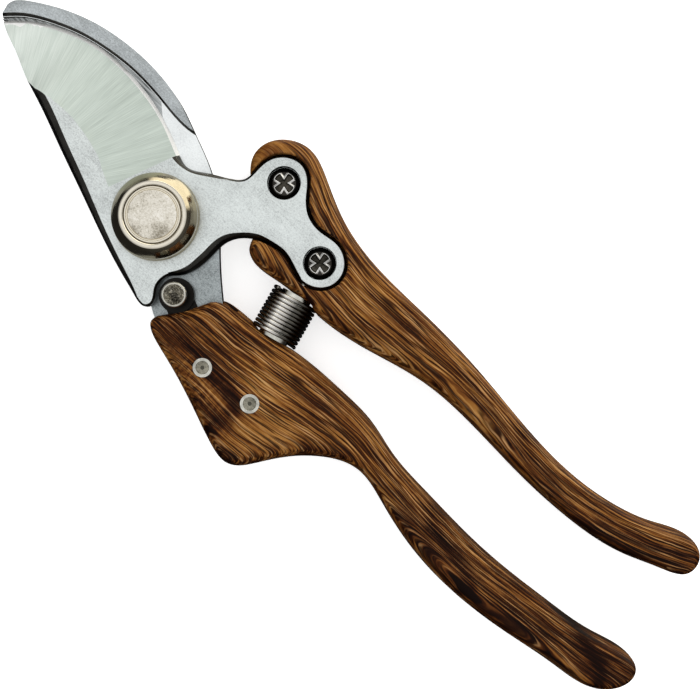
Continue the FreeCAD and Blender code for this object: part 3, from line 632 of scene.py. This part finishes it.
# ---------------------------------------------------------------- small parts
def field_disc(name, centre, radius, height, tone, skirt, rings=64, segments=144):
    """A round top whose surface is height(x, y) above z = 0, over a turned skirt of (radius, z) points.

    tone(x, y) is the material slot of each place on the top; the skirt takes slot 0.
    """
    verts = [(0, 0, height(0, 0))]
    for i in range(1, rings + 1):
        for k in range(segments):
            a = 2 * math.pi * k / segments
            x, y = radius * i / rings * math.cos(a), radius * i / rings * math.sin(a)
            verts.append((x, y, height(x, y)))
    for r, z in skirt:
        verts += [(r * math.cos(2 * math.pi * k / segments), r * math.sin(2 * math.pi * k / segments), z)
                  for k in range(segments)]
    faces = [(0, 1 + k, 1 + (k + 1) % segments) for k in range(segments)]
    for i in range(rings + len(skirt) - 1):
        low, high = 1 + i * segments, 1 + (i + 1) * segments
        faces += [(low + k, high + k, high + (k + 1) % segments, low + (k + 1) % segments)
                  for k in range(segments)]
    last = 1 + (rings + len(skirt) - 1) * segments
    faces.append(tuple(last + k for k in reversed(range(segments))))
    piece = mesh_object(name, [(x + centre[0], y + centre[1], z) for x, y, z in verts], faces)
    outward(piece)
    for polygon in piece.data.polygons:
        middle = polygon.center / MM
        x, y = middle.x - centre[0], middle.y - centre[1]
        polygon.material_index = tone(x, y) if polygon.index < segments * rings else 0
    return piece


CROSS_TURN = math.radians(-2.0)


def cross_inside(x, y):
    """How far (x, y) is inside the outline of the driver's cross, whose arms widen outwards."""
    x, y = (x * math.cos(CROSS_TURN) + y * math.sin(CROSS_TURN),
            y * math.cos(CROSS_TURN) - x * math.sin(CROSS_TURN))
    best = -9.0
    for a, b in ((abs(x), abs(y)), (abs(y), abs(x))):
        reach = 2.35 - 0.25 * b * b
        best = max(best, min(0.40 + 0.20 * a - b, reach - a))
    return best


def screw(name, centre, materials):
    """A domed screw head with a deep cross recess, whose rim is burred up a little; a painted highlight lies
    on the rim and painted shade in the recess.
    """
    head_r = 3.55

    def height(x, y):
        r = math.hypot(x, y)
        inside = cross_inside(x, y)
        dome = PLATE_TOP - 0.14 - 1.25 * (r / head_r) ** 2.6
        rim = 0.13 * math.exp(-((inside + 0.12) / 0.17) ** 2)
        sunk = min(1.0, max(0.0, inside / 0.16))
        return dome + rim - sunk * (1.25 - 0.20 * r)

    def tone(x, y):
        # slot 1: painted highlight on the burred rim of the recess; slot 2: painted shade in the recess
        inside = cross_inside(x, y)
        return 1 if -0.42 < inside < 0.08 else (2 if inside >= 0.08 else 0)

    seat = PLATE_BOTTOM + 1.0
    skirt = [(head_r, PLATE_TOP - 1.6), (head_r - 0.03, seat), (1.98, seat), (1.98, 3.6), (1.6, 3.2)]
    piece = field_disc(name, centre, head_r, height, tone, skirt)
    return finished(piece, materials, 55)


def stud_head(name, materials):
    """The latch's thumb stud: a bright rim round a top that is punched all over with small dimples."""
    radius, top = 2.85, 15.14

    def height(x, y):
        r = math.hypot(x, y)
        if r > radius - 0.55:
            return top - 0.35 * max(0.0, (r - radius + 0.3) / 0.3) ** 2
        coarse = noise.noise(Vector((x * 2.1, y * 2.1, 3.0)))
        rough = coarse + 0.6 * noise.noise(Vector((x * 4.4, y * 4.4, 8.0)))
        return top - 0.36 + 0.26 * max(-1.0, min(1.0, 1.6 * rough))

    def tone(x, y):
        return 1 if math.hypot(x, y) < radius - 0.62 else 0

    skirt = [(radius, top - 0.6), (radius, 13.25), (radius - 0.1, 13.1), (1.6, 13.0), (1.6, 10.4),
             (1.19, 10.38), (1.19, 8.15)]
    piece = field_disc(name, LATCH_STUD, radius, height, tone, skirt, 72)
    return finished(piece, materials, 60)


def rivet_head(name, centre, materials):
    """A peened rivet: a bright rolled rim, a grey dish, a dark centre mark, and painted shade in a thin ring
    round the head's edge.
    """
    # the lower handle grows thicker over the 120 mm behind x = -20
    behind = -20.0 - centre[0]
    top = 12.7 + 2.3 * behind / 120.0
    bottom = 0.6 - 0.5 * behind / 120.0

    def height(x, y):
        r = math.hypot(x, y)
        rim = 0.24 * math.exp(-((r - 1.72) / 0.22) ** 2)
        pit = -0.10 * math.exp(-((r - 0.10) / 0.30) ** 2)
        wear = 0.03 * noise.noise(Vector((x * 3.0 + centre[0], y * 3.0, 1.0)))
        return top + 0.05 + rim + pit + wear - 0.16 * max(0.0, (r - 1.9) / 0.25) ** 2

    def tone(x, y):
        r = math.hypot(x, y)
        # beyond r 1.88: painted shade round the head's edge
        return 2 if r > 1.88 else (0 if r > 1.60 else (1 if r > 0.45 else 2))

    skirt = [(2.15, top - 0.16), (1.49, top - 0.2), (1.49, bottom)]
    piece = field_disc(name, centre, 2.15, height, tone, skirt, 56, 96)
    return finished(piece, materials, 50)


def coil(name, material):
    """The compression spring: round wire, its two ends capped flat."""
    axis = (SPRING_HEAD - SPRING_FOOT).normalized()
    side = axis.cross(Vector((0, 0, 1))).normalized()
    other = axis.cross(side)
    length = (SPRING_HEAD - SPRING_FOOT).length + 1.7
    start = SPRING_FOOT - axis * 0.45
    turns, wire, middle_r = 10.6, 0.45, 5.24
    per_turn, sides = 90, 16
    count = int(turns * per_turn)
    verts, faces = [], []
    for i in range(count + 1):
        turn = i / per_turn
        share = i / count
        # the pitch is a little wider at the ends than in the middle
        rise = share + 0.012 * math.sin(2 * math.pi * share)
        a = 2 * math.pi * turn
        out = side * math.cos(a) + other * math.sin(a)
        centre = start + axis * (length - 0.8) * rise + out * middle_r
        for k in range(sides):
            b = 2 * math.pi * k / sides
            verts.append(centre + out * wire * math.cos(b) + axis * wire * math.sin(b))
    for i in range(count):
        for k in range(sides):
            n = (k + 1) % sides
            faces.append((i * sides + k, i * sides + n, (i + 1) * sides + n, (i + 1) * sides + k))
    faces.append(tuple(range(sides)))
    faces.append(tuple(reversed(range(count * sides, (count + 1) * sides))))
    piece = mesh_object(name, verts, faces)
    outward(piece)
    # across: place across the spring's axis, -1 to 1, which places the spring's painted highlight and
    # painted shade
    gap = coordinates(piece.data) - np.array(tuple(start))
    across = piece.data.attributes.new("across", "FLOAT", "POINT")
    across.data.foreach_set("value", (gap @ np.array(tuple(side)) / (middle_r + wire)).astype(np.float32))
    shade(piece, material)
    return piece


# ---------------------------------------------------------------- the object
upper = handle("upper_handle", "upper_handle_wood", UPPER_LINE, UPPER_SIDES, upper_figure,
               wood_material("rosewood_upper", True))
place(upper, "cutter", "handle_wood")
lower = handle("lower_handle", "lower_handle_wood", LOWER_LINE, LOWER_SIDES, lower_figure,
               wood_material("rosewood_lower", False))
place(lower, "frame", "handle_wood")

plate_steel = blasted_steel("blasted_steel", (0.66, 0.70, 0.69), 0.42, 0.66, 1.2)
ground_face = ground_steel("ground_steel")
# the honed strip along the cutting edge: its honed finish, painted near white as a highlight
honed = smooth_metal("honed_painted_highlight", (1.0, 1.0, 0.98), 0.55, wear_and_shade=0.95)
# painted shade on the plates' side walls and steep faces
side_painted_shade = smooth_metal("side_painted_shade", (0.050, 0.048, 0.043), 0.34, wear_and_shade=0.4)
# broken edges: polished smoother, and painted lighter as a highlight
arris_painted_highlight = smooth_metal("arris_painted_highlight_steel", (0.86, 0.88, 0.86), 0.22)
blade = plate("cutting_blade", "cutting_blade_steel", (plate_steel, ground_face, honed, side_painted_shade, arris_painted_highlight),
              blade_zone, 0.09)
place(blade, "cutter", "blade_steel")

hook_steel = blasted_steel("hook_steel", (0.43, 0.46, 0.47), 0.44, 0.6, 1.4)
# the sliding face darkens behind the pivot: painted shade
slide_steel = blasted_steel("sliding_steel", (0.84, 0.87, 0.87), 0.36, 0.85, 1.1, (0.30, 0.33, 0.335))
groove_steel = groove_painted_shade("groove_steel")
hook = plate("counter_blade", "counter_blade_steel",
             (hook_steel, slide_steel, groove_steel, side_painted_shade, arris_painted_highlight), hook_zone, 0.07)
place(hook, "frame", "hook_steel")

nickel = smooth_metal("warm_nickel", (0.78, 0.73, 0.62), 0.13)
# the collar's cone: the same nickel, painted darker as shade
cone_nickel_painted_shade = smooth_metal("cone_nickel_painted_shade", (0.50, 0.44, 0.32), 0.14, wear_and_shade=0.7)
cap_face = satin_cap("satin_cap")
chrome = smooth_metal("dark_chrome", (0.055, 0.050, 0.044), 0.13, wear_and_shade=0.3)
burr_painted_highlight = smooth_metal("burr_painted_highlight_chrome", (0.97, 0.96, 0.92), 0.16, scale=1.1, wear_and_shade=0.4)
recess_painted_shade = smooth_metal("recess_painted_shade", (0.075, 0.068, 0.055), 0.16, grain=0.14, scale=2.2, wear_and_shade=0.1)
black_steel = smooth_metal("black_steel", (0.014, 0.013, 0.012), 0.34)
rivet_steel = smooth_metal("rivet_steel", (0.72, 0.71, 0.64), 0.20, grain=0.04, scale=1.3, wear_and_shade=0.5)
rivet_dish = smooth_metal("rivet_dish", (0.36, 0.34, 0.27), 0.26, grain=0.16, scale=1.9, wear_and_shade=0.2)
# the dark centre mark, and painted shade round the rivet head's edge
rivet_mark_and_edge_shade = smooth_metal("rivet_mark_and_edge_shade", (0.10, 0.095, 0.075), 0.3, grain=0.05, wear_and_shade=0.4)
spring_steel = smooth_metal("spring_steel", (0.66, 0.63, 0.60), 0.12, wear_and_shade=0.75)
stud_dark = smooth_metal("stud_dark", (0.50, 0.47, 0.39), 0.13, grain=0.10, scale=2.6, wear_and_shade=0.05)
stud_rim = smooth_metal("stud_rim", (0.58, 0.56, 0.50), 0.15, wear_and_shade=0.6)
bronze = smooth_metal("bronze", (0.46, 0.27, 0.10), 0.28)
brass = smooth_metal("brass", (0.62, 0.44, 0.16), 0.28)

collar_profile = [(4.02, 11.5), (9.7, 11.5), (9.9, 11.75), (9.9, 12.15), (9.65, 12.6), (9.6, 14.2),
                  (9.0, 15.2), (8.3, 16.2), (7.55, 17.0), (7.2, 17.2), (6.75, 17.2), (6.45, 16.95),
                  (6.45, 15.2), (4.02, 15.2), (4.02, 11.5)]
collar = lathed("pivot_collar_ring", PIVOT, collar_profile, 0.12)
# the collar's top face takes the nickel; everything below it the nickel with painted shade
for polygon in collar.data.polygons:
    polygon.material_index = 0 if polygon.center.z > 17.0 * MM else 1
finished(collar, (nickel, cone_nickel_painted_shade))
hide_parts("pivot_collar")
place(collar, "frame", "nickel")

bolt_profile = [(0, 0), (3.6, 0), (4.0, 0.4), (4.0, 15.2), (6.3, 15.2), (6.3, 16.95), (6.15, 17.1),
                (5.9, 17.1), (5.8, 16.8), (5.55, 16.8), (5.4, 17.17), (4.6, 17.24), (2.5, 17.28), (0, 17.3)]
bolt = lathed("pivot_bolt_cap", PIVOT, bolt_profile, 0.09)
for polygon in bolt.data.polygons:
    flat = polygon.center.z > 17.1 * MM and polygon.center.xy.length < 5.4 * MM
    polygon.material_index = 1 if flat else 0
finished(bolt, (nickel, cap_face))
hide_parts("pivot_bolt")
place(bolt, "frame", "nickel_cap")

for number, ear in enumerate(EARS):
    head = screw(f"handle_screw_{number + 1}", ear, (chrome, burr_painted_highlight, recess_painted_shade))
    if number == 0:
        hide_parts("handle_screws")
    place(head, "cutter", "dark_chrome")

stud = stud_head("lock_stud_head", (stud_rim, stud_dark))
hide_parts("lock_stud")
place(stud, "latch", "stud_steel")

spring = coil("handle_spring", spring_painted_light("spring_wire"))
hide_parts("spring")
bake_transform(spring)

for node, centre in (("latch_rivet", FRONT_RIVET), ("rear_rivet", REAR_RIVET)):
    head = rivet_head(f"{node}_head", centre, (rivet_steel, rivet_dish, rivet_mark_and_edge_shade))
    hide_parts(node)
    place(head, "frame", "rivet_steel")

for node, material in (("pivot_nut", nickel), ("pivot_spring_washer", spring_steel), ("pivot_bush", bronze),
                       ("screw_inserts", brass), ("rivet_washers", rivet_steel),
                       ("lock_lever", black_steel), ("lever_washer", spring_steel),
                       ("lower_spring_peg", rivet_steel), ("upper_spring_peg", rivet_steel)):
    shade(nodes[node], material)
    edges = nodes[node].modifiers.new("edges", "BEVEL")
    edges.limit_method = "ANGLE"
    edges.angle_limit = math.radians(30)
    edges.width = 0.05 * MM
    edges.segments = 2

# ---------------------------------------------------------------- stage, lights, camera
FLOOR_Z = cad_low.z - 0.0002


def stage_floor():
    """A pale floor and a round backdrop that glossy and diffuse rays don't see."""
    s = Shader("pale_floor")
    p = s.position()
    colour = s.mix(s.noise(p, 0.02, 3.0), (0.92, 0.92, 0.92), (0.94, 0.94, 0.94))
    material = s.finish({"Base Color": colour, "Roughness": 0.9, "Specular IOR Level": 0.0,
                         "Emission Color": (1.0, 1.0, 1.0, 1.0), "Emission Strength": 0.62})
    half = 1500
    floor = mesh_object("floor", [(-half, -half, 0), (half, -half, 0), (half, half, 0), (-half, half, 0)],
                        [(0, 1, 2, 3)], smooth=False)
    floor.location.z = FLOOR_Z
    shade(floor, material)
    sides = 96
    around = [(half * math.cos(2 * math.pi * k / sides), half * math.sin(2 * math.pi * k / sides))
              for k in range(sides)]
    wall = mesh_object("backdrop", [(x, y, -5) for x, y in around] + [(x, y, half) for x, y in around],
                       [(k, (k + 1) % sides, sides + (k + 1) % sides, sides + k) for k in range(sides)])
    wall.location.z = FLOOR_Z
    shade(wall, material)
    for piece in (floor, wall):
        piece.visible_glossy = False
        piece.visible_diffuse = False
    wall.visible_shadow = False


def area_light(name, place_mm, target_mm, size_mm, power):
    data = bpy.data.lights.new(name, "AREA")
    data.shape = "RECTANGLE"
    data.size, data.size_y = size_mm[0] * MM, size_mm[1] * MM
    data.energy = power
    light = bpy.data.objects.new(name, data)
    bpy.context.scene.collection.objects.link(light)
    light.location = Vector(place_mm) * MM
    light.rotation_euler = (Vector(target_mm) - Vector(place_mm)).to_track_quat("-Z", "Y").to_euler()
    light.visible_glossy = False


def world_light():
    """A studio dome: bright overhead, dark towards the horizon, with one bright patch low on the -Y side."""
    world = bpy.data.worlds.new("studio")
    world.use_nodes = True
    bpy.context.scene.world = world
    s = Shader("studio", world.node_tree)
    direction = world.node_tree.nodes.new("ShaderNodeTexCoord").outputs["Generated"]
    x, y, z = s.split(direction)
    dome = s.ramp(z, ((0.0, (0.03, 0.03, 0.03)), (0.12, (0.10, 0.10, 0.10)), (0.45, (0.62, 0.62, 0.62)),
                      (0.80, (1.0, 1.0, 1.0)), (1.0, (1.04, 1.04, 1.04))))
    flat = s.math("SQRT", s.math("ADD", s.math("MULTIPLY", x, x), s.math("MULTIPLY", y, y)))
    facing = s.math("ADD", s.math("MULTIPLY", x, 0.224), s.math("MULTIPLY", y, -0.975))
    towards = s.math("DIVIDE", facing, flat)
    patch_of_light = s.math("MULTIPLY", s.remap(towards, 0.70, 0.80), s.remap(z, -0.75, -0.65))
    patch_of_light = s.math("MULTIPLY", patch_of_light, s.remap(z, 0.42, 0.32))
    colours = s.mix(patch_of_light, dome, (2.3, 2.2, 1.9))
    background = world.node_tree.nodes["Background"]
    world.node_tree.links.new(colours, background.inputs[0])


def add_camera():
    """The photograph's camera: straight above the tool, turned so that it lies across the picture."""
    data = bpy.data.cameras.new("camera")
    data.sensor_width = 36.0
    data.lens = 65.44
    data.clip_start = 0.01
    data.clip_end = 10
    camera = bpy.data.objects.new("camera", data)
    bpy.context.scene.collection.objects.link(camera)
    right, up, back = Vector((-0.7322, -0.6811, 0)), Vector((0.6811, -0.7322, 0)), Vector((0, 0, 1))
    rotation = Matrix((right, up, back)).transposed().to_4x4()
    camera.matrix_world = Matrix.Translation((-0.05127, -0.00868, 0.2964)) @ rotation
    bpy.context.scene.camera = camera


stage_floor()
world_light()
area_light("key", (-60, -520, 420), (-40, 0, 0), (260, 160), 1.3)
add_camera()
bpy.context.scene.view_settings.view_transform = "Standard"
